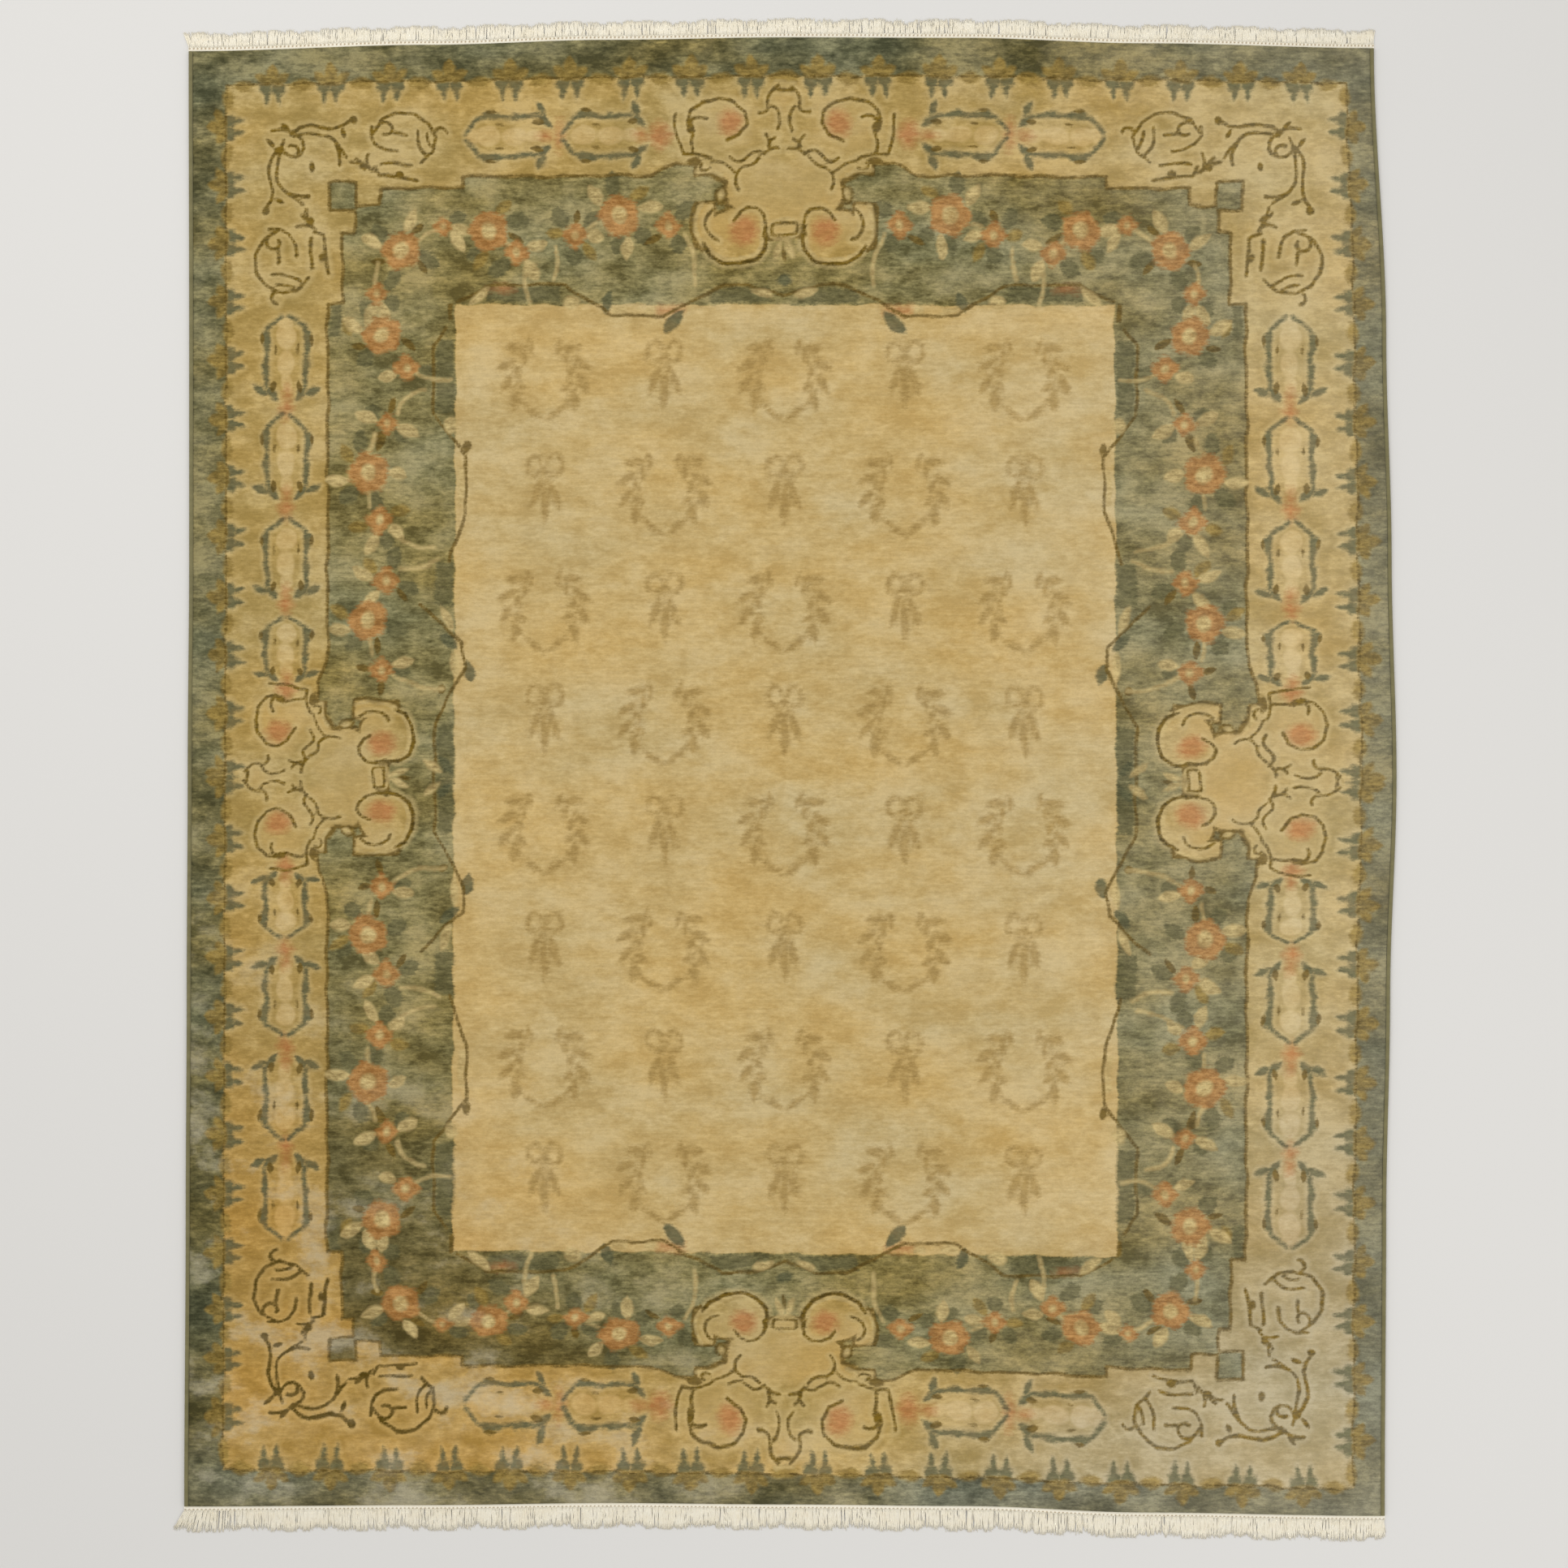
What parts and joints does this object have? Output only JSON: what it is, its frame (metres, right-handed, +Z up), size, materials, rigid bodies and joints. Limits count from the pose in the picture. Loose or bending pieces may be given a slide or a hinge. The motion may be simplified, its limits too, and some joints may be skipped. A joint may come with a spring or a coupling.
{
  "type": "tibetan rug",
  "caption": "Large flat hand-knotted wool rug with overcast side rolls, woven end bands and a short cotton fringe; lies on a floor.",
  "frame": {"origin": "on the floor under the centre of the rug's box", "axes": "+X across the rug, +Y along it towards the end that is at the top of the picture, +Z up out of the pile"},
  "size_m": [2.478, 3.098, 0.0122],
  "materials": {
    "pile_wool": "matte",
    "roll_wool": "matte",
    "fringe_cotton": "matte"
  },
  "bodies": {
    "root": {"knotted_rug": "pile_wool", "side_roll_left": "roll_wool", "side_roll_right": "roll_wool", "end_band_far": "fringe_cotton", "end_band_near": "fringe_cotton"}
  },
  "joints": []
}
